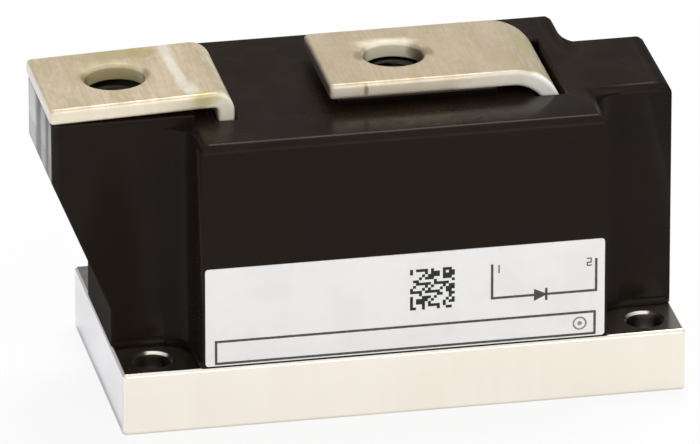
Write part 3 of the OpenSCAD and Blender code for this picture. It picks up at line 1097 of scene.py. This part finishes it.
@dataclass
class StrapTerminal(SubAssembly):
    """Bent plated strap with its bolt hole."""

    number: int
    spots: tuple[Spot, ...]
    wear: float
    tint: Triple
    painted_side_light: Triple
    painted_end_shading: Triple
    hole_x: float
    rim_reach: float = 0.006875
    shown_z: float = 0.05
    edge_r: float = 0.0008
    rim_r: float = 0.0002

    def build(self, nodes: Nodes) -> list[Piece]:
        """Round the strap's edges, less at its hole, and dress it.

        Args:
            nodes: Solids of the frame by name.

        Returns:
            The strap.
        """
        roundings = (Rounding(self.is_rim, self.rim_r, 2), Rounding(self.is_outer_edge, self.edge_r))
        node = nodes[f"terminal_{self.number}_strap"]
        return [Modelling.rounded(f"bent_strap_{self.number}", node, roundings, self.finish())]

    def in_hole(self, point: Vector) -> bool:
        """Say whether a point lies at the strap's hole."""
        return math.hypot(point.x - self.hole_x, point.y) < self.rim_reach

    def is_rim(self, edge: Edge) -> bool:
        """Say whether an edge runs round a mouth of the hole."""
        return all(vert.co.z > self.shown_z and self.in_hole(vert.co) for vert in edge.verts)

    def is_outer_edge(self, edge: Edge) -> bool:
        """Say whether an edge lies on the outline of the part that shows."""
        ends = [vert.co for vert in edge.verts]
        return any(end.z > self.shown_z for end in ends) and not any(self.in_hole(end) for end in ends)

    def finish(self) -> PlatedMetal:
        """Give the strap's brushed and stained plating, with painted light on its cut faces and its end.

        Returns:
            The finish.
        """
        return PlatedMetal(
            slot=Slot.STRAP,
            tint=self.tint,
            tarnish=(0.46, 0.36, 0.22),
            worn_and_highlit=(0.95, 0.89, 0.74),
            roughness=(0.38, 0.55),
            streak_share=0.55,
            patch_scale=260.0,
            patch_share=0.45,
            # Rubbed edges, which also paint a highlight along the strap's edges.
            wear=self.wear,
            metallic=0.45,
            mottle_share=0.5,
            # Painted light: the cut front and back faces lighter; the end face pale on strap 1, where it
            # mirrors the bright floor, and dark on strap 2, where it mirrors the dark roof.
            face_lights=(
                PaintedFaceLight((0.0, -1.0, 0.0), self.painted_side_light, 0.75),
                PaintedFaceLight((0.0, 1.0, 0.0), self.painted_side_light, 0.75),
                PaintedFaceLight((-1.0, 0.0, 0.0), self.painted_end_shading, 0.85),
            ),
            spots=self.spots,
            variant=f"{self.number}_",
        )


@dataclass
class CaptiveNut(SubAssembly):
    """Hexagon nut under a strap hole, with its real thread."""

    number: int
    across_flats: float = 0.016
    face_inset: float = 0.0004
    corner_slope: float = 30.0
    core_r: float = 0.00425
    crest_depth: float = 0.0008
    flank_rise: float = 1.4
    flank_start: float = 0.2
    mouth: float = 0.0009
    pitch: float = 0.0015
    sides: int = 96
    rows_per_turn: int = 8

    def build(self, nodes: Nodes) -> list[Piece]:
        """Build the nut in place of its plain solid.

        Args:
            nodes: Solids of the frame by name; not used.

        Returns:
            The nut.
        """
        node = f"terminal_{self.number}_nut"
        low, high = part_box(node)
        mesh = self.mesh((low + high) / 2, low.z, high.z)
        nut = Modelling.piece(f"threaded_nut_{self.number}", mesh, self.finish())
        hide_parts(node)
        return [nut]

    def outer_r(self, angle: float) -> float:
        """Give the hexagon's radius in one direction."""
        off_flat = (angle % (math.pi / 3)) - math.pi / 6
        return self.across_flats / 2 / math.cos(off_flat)

    def thread_r(self, angle: float, z: float, height: float) -> float:
        """Give the thread's radius at one point.

        Args:
            angle: Direction round the axis.
            z: Height above the nut's lower face.
            height: Height of the nut.

        Returns:
            The radius, widened towards both mouths.
        """
        phase = (z / self.pitch - angle / (2 * math.pi)) % 1.0
        flank = min(1.0, max(0.0, self.flank_rise * (1 - abs(2 * phase - 1)) - self.flank_start))
        mouth = self.core_r + self.mouth - min(z, height - z)
        return max(self.core_r + flank * self.crest_depth, mouth)

    def mesh(self, centre: Vector, low: float, high: float) -> bpy.types.Mesh:
        """Make the nut as rings of points round its axis.

        Args:
            centre: Middle of the nut.
            low: Height of its lower face.
            high: Height of its upper face.

        Returns:
            The closed mesh.
        """
        height = high - low
        face_r = self.across_flats / 2 - self.face_inset
        mouth_r = self.core_r + self.mouth
        slope = math.tan(math.radians(self.corner_slope))
        rows = int(height / self.pitch * self.rows_per_turn)
        rings: list[Callable[[float], Point]] = [
            lambda a: (mouth_r, 0.0),
            lambda a: (face_r, 0.0),
            lambda a: (self.outer_r(a), (self.outer_r(a) - face_r) * slope),
            lambda a: (self.outer_r(a), height - (self.outer_r(a) - face_r) * slope),
            lambda a: (face_r, height),
            lambda a: (mouth_r, height),
        ]
        for row in range(rows - 1, 0, -1):
            z = height * row / rows
            rings.append(lambda a, z=z: (self.thread_r(a, z, height), z))
        work = bmesh.new()
        grid = []
        for ring in rings:
            loop = []
            for i in range(self.sides):
                angle = 2 * math.pi * i / self.sides
                r, z = ring(angle)
                x, y = centre.x + r * math.cos(angle), centre.y + r * math.sin(angle)
                loop.append(work.verts.new((x, y, low + z)))
            grid.append(loop)
        for k, loop in enumerate(grid):
            above = grid[(k + 1) % len(grid)]
            for i in range(self.sides):
                j = (i + 1) % self.sides
                work.faces.new((loop[i], loop[j], above[j], above[i])).smooth = True
        bmesh.ops.recalc_face_normals(work, faces=work.faces)
        mesh = bpy.data.meshes.new("threaded_nut")
        work.to_mesh(mesh)
        work.free()
        mesh.set_sharp_from_angle(angle=SHARP_ANGLE)
        return mesh

    @staticmethod
    def finish() -> PlatedMetal:
        """Give the nut's dull black oxide, kept this dark to paint the shade deep under the strap's hole.

        Returns:
            The finish.
        """
        return PlatedMetal(
            slot=Slot.NUT,
            tint=(0.05, 0.046, 0.04),
            tarnish=(0.03, 0.027, 0.023),
            worn_and_highlit=(0.09, 0.083, 0.073),
            roughness=(0.35, 0.55),
            stretch=(1.0, 1.0, 0.3),
            streak_scale=1500.0,
        )


@dataclass
class DiodeStack(SubAssembly):
    """Clamped diode and its clamp, closed in by the housing."""

    dulled: Triple = (0.7, 0.68, 0.66)
    brightened: Triple = (1.2, 1.2, 1.2)
    stretch: Triple = (1.0, 1.0, 0.4)

    def build(self, nodes: Nodes) -> list[Piece]:
        """Dress every inner piece.

        Args:
            nodes: Solids of the frame by name.

        Returns:
            The inner pieces.
        """
        made = []
        for names, finish in self.finishes():
            for name in names:
                Modelling.dress(nodes[name], finish)
                made.append(nodes[name])
        return made

    def metal(self, slot: Slot, tint: Triple, roughness: Point) -> PlatedMetal:
        """Give an inner metal by its colour when clean, and its least and greatest roughness."""
        dull, bright = toned(tint, self.dulled), toned(tint, self.brightened)
        return PlatedMetal(slot, tint, dull, bright, roughness, self.stretch)

    def finishes(self) -> list[tuple[tuple[str, ...], Finish]]:
        """List the inner pieces with their finishes.

        Returns:
            Names of the solids, and the finish they share.
        """
        ceramic = MouldedPlastic(
            slot=Slot.CERAMIC,
            colour=(0.84, 0.84, 0.8),
            cloud=(0.78, 0.78, 0.74),
            dust=(0.7, 0.69, 0.66),
            roughness=(0.25, 0.4),
            specular=0.5,
            grain_scale=4200.0,
            depth=0.000006,
        )
        plastic = MouldedPlastic(
            slot=Slot.INNER_PLASTIC,
            colour=(0.74, 0.69, 0.56),
            cloud=(0.68, 0.63, 0.5),
            dust=(0.62, 0.58, 0.48),
            roughness=(0.38, 0.55),
            specular=0.4,
        )
        clamp = self.metal(Slot.CLAMP, (0.48, 0.48, 0.5), (0.3, 0.45))
        return [
            (("ceramic_insulator",), ceramic),
            (("molybdenum_disc",), self.metal(Slot.MOLYBDENUM, (0.27, 0.28, 0.3), (0.3, 0.42))),
            (("silicon_wafer",), self.metal(Slot.SILICON, (0.09, 0.1, 0.13), (0.08, 0.2))),
            (("upper_contact_disc",), self.metal(Slot.CONTACT, (0.78, 0.77, 0.75), (0.2, 0.35))),
            (("centring_ring", "insulating_cup"), plastic),
            (("pressure_plate", "clamp_yoke", "clamp_washers"), clamp),
            (("disc_springs",), self.metal(Slot.SPRING, (0.22, 0.22, 0.25), (0.25, 0.4))),
            (("clamp_screws",), self.metal(Slot.SCREW, (0.1, 0.1, 0.11), (0.35, 0.5))),
        ]


@dataclass(frozen=True)
class Lamp:
    """One soft area lamp."""

    name: str
    place: Triple
    size: Point
    radiance: float
    colour: Triple = (1.0, 1.0, 1.0)


@dataclass
class Studio:
    """White floor, soft surroundings and soft lamps."""

    floor_half: float = 15.0
    floor_z: float = -0.00005
    floor_grey: float = 0.9
    floor_glow: float = 0.85
    aim: Triple = (0.0, 0.0, 0.03)
    lamps: tuple[Lamp, ...] = (
        Lamp("overhead_softbox", (0.2, 0.45, 1.2), (0.6, 0.45), 9.0),
        Lamp("front_softbox", (0.3, -1.4, 0.75), (0.8, 1.25), 2.2, (1.0, 0.97, 0.92)),
        Lamp("left_softbox", (-1.25, 0.1, 0.5), (0.7, 0.7), 2.0, (0.9, 0.95, 1.0)),
    )
    sky: tuple[Point, ...] = (
        (0.0, 1.0), (0.12, 0.6), (0.27, 0.2), (0.46, 0.12), (0.7, 0.5), (0.9, 1.0), (1.0, 0.9)
    )
    plate_half: Point = (0.052, 0.025)
    plate_border: Point = (0.0002, 0.0012)
    # Painted shadows on the floor as reflections see it: behind the plate, and far off to the right.
    shades: tuple[Zone, ...] = (
        Zone((-0.01, 0.036, 0.0), (0.085, 0.026, 0.02), 1.0, 0.0),
        Zone((0.2, 0.3, 0.0), (0.25, 0.4, 0.02), 0.9, 0.0),
    )

    def build(self) -> None:
        """Make the floor, the surroundings and the lamps."""
        self.floor()
        self.surroundings()
        for lamp in self.lamps:
            self.lamp(lamp)

    def floor(self) -> None:
        """Make the floor, which shows white and keeps the module's shadow."""
        half = self.floor_half
        mesh = bpy.data.meshes.new("studio_floor")
        corners = [(x * half, y * half, self.floor_z) for x, y in ((-1, -1), (1, -1), (1, 1), (-1, 1))]
        mesh.from_pydata(corners, [], [(0, 1, 2, 3)])
        floor = bpy.data.objects.new("studio_floor", mesh)
        bpy.context.scene.collection.objects.link(floor)
        material = bpy.data.materials.new("floor_paper")
        material.use_nodes = True
        graph = Graph(material.node_tree)
        rays = graph.add("ShaderNodeLightPath").outputs
        reflected = graph.math("MAXIMUM", rays["Is Glossy Ray"], rays["Is Transmission Ray"])
        # Reflections see the glow only on open floor: painted shadow under and beside the plate.
        reflected = graph.times(reflected, self.open_floor(graph))
        share = graph.times(graph.math("MAXIMUM", rays["Is Camera Ray"], reflected), self.floor_glow)
        paper = graph.add("ShaderNodeBsdfDiffuse", {"Color": (self.floor_grey,) * 3})
        glow = graph.add("ShaderNodeEmission", {"Strength": 1.0})
        mixed = graph.add("ShaderNodeMixShader", {0: share, 1: paper.outputs[0], 2: glow.outputs[0]})
        graph.add("ShaderNodeOutputMaterial", {"Surface": mixed.outputs[0]})
        mesh.materials.append(material)

    def open_floor(self, graph: Graph) -> Socket:
        """Mask the floor that the module neither covers nor shades; reflections see painted shadow outside it.

        Args:
            graph: Tree of the floor's material.

        Returns:
            The mask, 0 under the plate and in the painted shadows beside it.
        """
        place = graph.add("ShaderNodeNewGeometry").outputs["Position"]
        parts = graph.add("ShaderNodeSeparateXYZ", {0: place}).outputs
        near, far = self.plate_border
        clear = [
            graph.step(graph.math("ABSOLUTE", parts[i]), half + near, half + far)
            for i, half in enumerate(self.plate_half)
        ]
        lit = graph.math("MAXIMUM", *clear)
        for shade in self.shades:
            lit = graph.times(lit, graph.math("SUBTRACT", 1.0, shade.mask(graph, place)))
        return lit

    def surroundings(self) -> None:
        """Make the world: white at the horizon and overhead, dark between them."""
        world = bpy.data.worlds.new("studio_surroundings")
        bpy.context.scene.world = world
        world.use_nodes = True
        graph = Graph(world.node_tree)
        direction = graph.add("ShaderNodeTexCoord").outputs["Generated"]
        ramp = graph.add("ShaderNodeValToRGB", {"Fac": graph.upward(direction)})
        stops = ramp.color_ramp.elements
        for i, (at, grey) in enumerate(self.sky):
            stop = stops[i] if i < 2 else stops.new(at)
            stop.position = at
            stop.color = (grey, grey, grey, 1.0)
        background = graph.add("ShaderNodeBackground", {"Color": ramp.outputs["Color"]})
        graph.add("ShaderNodeOutputWorld", {"Surface": background.outputs[0]})

    def lamp(self, lamp: Lamp) -> None:
        """Hang one lamp and aim it at the module.

        Args:
            lamp: Lamp to hang.
        """
        light = bpy.data.lights.new(lamp.name, "AREA")
        light.shape = "RECTANGLE"
        light.size, light.size_y = lamp.size
        light.energy = lamp.radiance * math.pi * lamp.size[0] * lamp.size[1]
        light.color = lamp.colour
        holder = bpy.data.objects.new(lamp.name, light)
        holder.location = lamp.place
        holder.rotation_euler = (Vector(self.aim) - Vector(lamp.place)).to_track_quat("-Z", "Y").to_euler()
        holder.visible_camera = False
        bpy.context.scene.collection.objects.link(holder)


@dataclass
class PhotoCamera:
    """Long lens that stands where the photograph was taken from."""

    place: Triple = (-0.40084, -1.97798, 0.91249)
    forward: Triple = (0.17957, 0.89793, -0.40184)
    lens: float = 621.8
    sensor: float = 36.0
    sight: float = 100.0

    def build(self) -> None:
        """Make the camera and set it as the scene's own."""
        lens = bpy.data.cameras.new("photo_camera")
        lens.sensor_fit = "HORIZONTAL"
        lens.sensor_width = self.sensor
        lens.lens = self.lens
        lens.clip_end = self.sight
        holder = bpy.data.objects.new("photo_camera", lens)
        holder.location = self.place
        holder.rotation_euler = Vector(self.forward).to_track_quat("-Z", "Y").to_euler()
        bpy.context.scene.collection.objects.link(holder)
        bpy.context.scene.camera = holder


PALE = (0.9, 0.86, 0.76)
OLIVE = (0.5, 0.42, 0.22)
BROWN = (0.33, 0.25, 0.15)
TERMINAL_1_SPOTS = (
    Spot((-0.0378, 0.0095, 0.0601), (0.0017, 0.0075, 0.003), 0.6, 0.7, PALE),
    Spot((-0.0377, 0.002, 0.0601), (0.0015, 0.0085, 0.003), 0.6, 0.7, PALE),
    Spot((-0.0374, -0.0045, 0.0601), (0.0015, 0.0075, 0.003), 0.6, 0.7, PALE),
    Spot((-0.0362, -0.0095, 0.0601), (0.0018, 0.0045, 0.003), 0.6, 0.7, PALE),
    # Painted highlight: the bend's front face lit pale, made dull so the pale colour shows.
    Spot((-0.0312, -0.0125, 0.0572), (0.0042, 0.0028, 0.0042), 0.95, 0.5, (0.99, 0.94, 0.76), True),
    Spot((-0.0465, 0.0102, 0.0598), (0.009, 0.0036, 0.003), 0.8, 1.6, OLIVE),
    Spot((-0.0425, 0.0095, 0.0598), (0.0035, 0.0028, 0.003), 0.6, 1.4, (0.5, 0.38, 0.16)),
    Spot((-0.0345, -0.0122, 0.0595), (0.0034, 0.0018, 0.0025), 0.8, 0.9, (0.6, 0.52, 0.22)),
    # Olive stain on the hole's far wall, also painted light there: dull and pale so the shaded wall shows lit.
    Spot((-0.0485, 0.004, 0.0576), (0.011, 0.006, 0.0034), 1.0, 0.3, (0.58, 0.495, 0.27), True),
    # Painted shade: the hole's left end wall darkened brown.
    Spot((-0.0535, 0.001, 0.0585), (0.0024, 0.0036, 0.003), 0.85, 0.6, (0.3, 0.22, 0.11)),
    Spot((-0.0428, 0.0, 0.0598), (0.0011, 0.003, 0.003), 0.65, 0.8, BROWN),
)
TERMINAL_2_SPOTS = (
    Spot((-0.0037, 0.0, 0.0595), (0.0014, 0.0032, 0.003), 0.8, 0.8, BROWN),
    Spot((0.0092, 0.0, 0.0595), (0.0014, 0.0032, 0.003), 0.8, 0.8, BROWN),
    # Painted light: the hole's far wall made dull and pale so the shaded wall shows lit.
    Spot((0.0022, 0.0052, 0.0582), (0.0085, 0.0035, 0.0034), 1.0, 0.3, (1.0, 0.95, 0.76), True),
    Spot((0.0075, 0.0036, 0.0585), (0.002, 0.0025, 0.002), 0.75, 0.5, BROWN),
    Spot((0.0275, 0.002, 0.059), (0.003, 0.008, 0.004), 0.8, 1.0, (0.5, 0.43, 0.2)),
    # Painted shade: the strap's left end darkened, as it mirrors the dark roof.
    Spot((-0.0117, 0.0, 0.0582), (0.0012, 0.025, 0.003), 1.0, 0.3, (0.05, 0.034, 0.02), True),
    # Painted highlights: the bend's front face lit pale, made dull so the pale colour shows.
    Spot((0.0205, -0.0125, 0.0575), (0.011, 0.0014, 0.004), 0.7, 0.5, (0.98, 0.94, 0.82), True),
    Spot((0.0288, -0.0125, 0.0568), (0.0055, 0.0026, 0.005), 1.0, 0.4, (1.0, 0.99, 0.93), True),
    Spot((-0.0048, -0.0125, 0.0585), (0.0006, 0.001, 0.0016), 0.85, 0.5, BROWN),
    Spot((-0.0085, -0.0125, 0.0588), (0.003, 0.001, 0.0012), 0.5, 0.8, PALE),
)
TERMINALS = (
    StrapTerminal(
        number=1,
        spots=TERMINAL_1_SPOTS,
        wear=0.2,
        tint=(0.79, 0.675, 0.495),
        painted_side_light=(0.97, 0.89, 0.73),
        # Painted light: this end face pale, as it mirrors the bright floor.
        painted_end_shading=(0.8, 0.77, 0.74),
        hole_x=-0.0485,
    ),
    StrapTerminal(
        number=2,
        spots=TERMINAL_2_SPOTS,
        wear=0.25,
        tint=(0.67, 0.565, 0.425),
        painted_side_light=(0.95, 0.85, 0.67),
        # Painted shade: this end face dark, as it mirrors the dark roof.
        painted_end_shading=(0.1, 0.07, 0.045),
        hole_x=0.0027,
    ),
)


def main() -> None:
    """Build the module's sub-assemblies in order, then the studio and the camera."""
    logging.basicConfig(level=logging.INFO, format="%(message)s")
    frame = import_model()
    bpy.context.scene.view_settings.view_transform = "Standard"
    nuts = (CaptiveNut(1), CaptiveNut(2))
    assemblies: list[SubAssembly] = [BasePlate(), Housing(), Label(), *TERMINALS, *nuts, DiodeStack()]
    for assembly in assemblies:
        for piece in assembly.build(frame["nodes"]):
            LOG.info("%s made %s", type(assembly).__name__, piece.name)
    Studio().build()
    PhotoCamera().build()


if __name__ == "__main__":
    main()
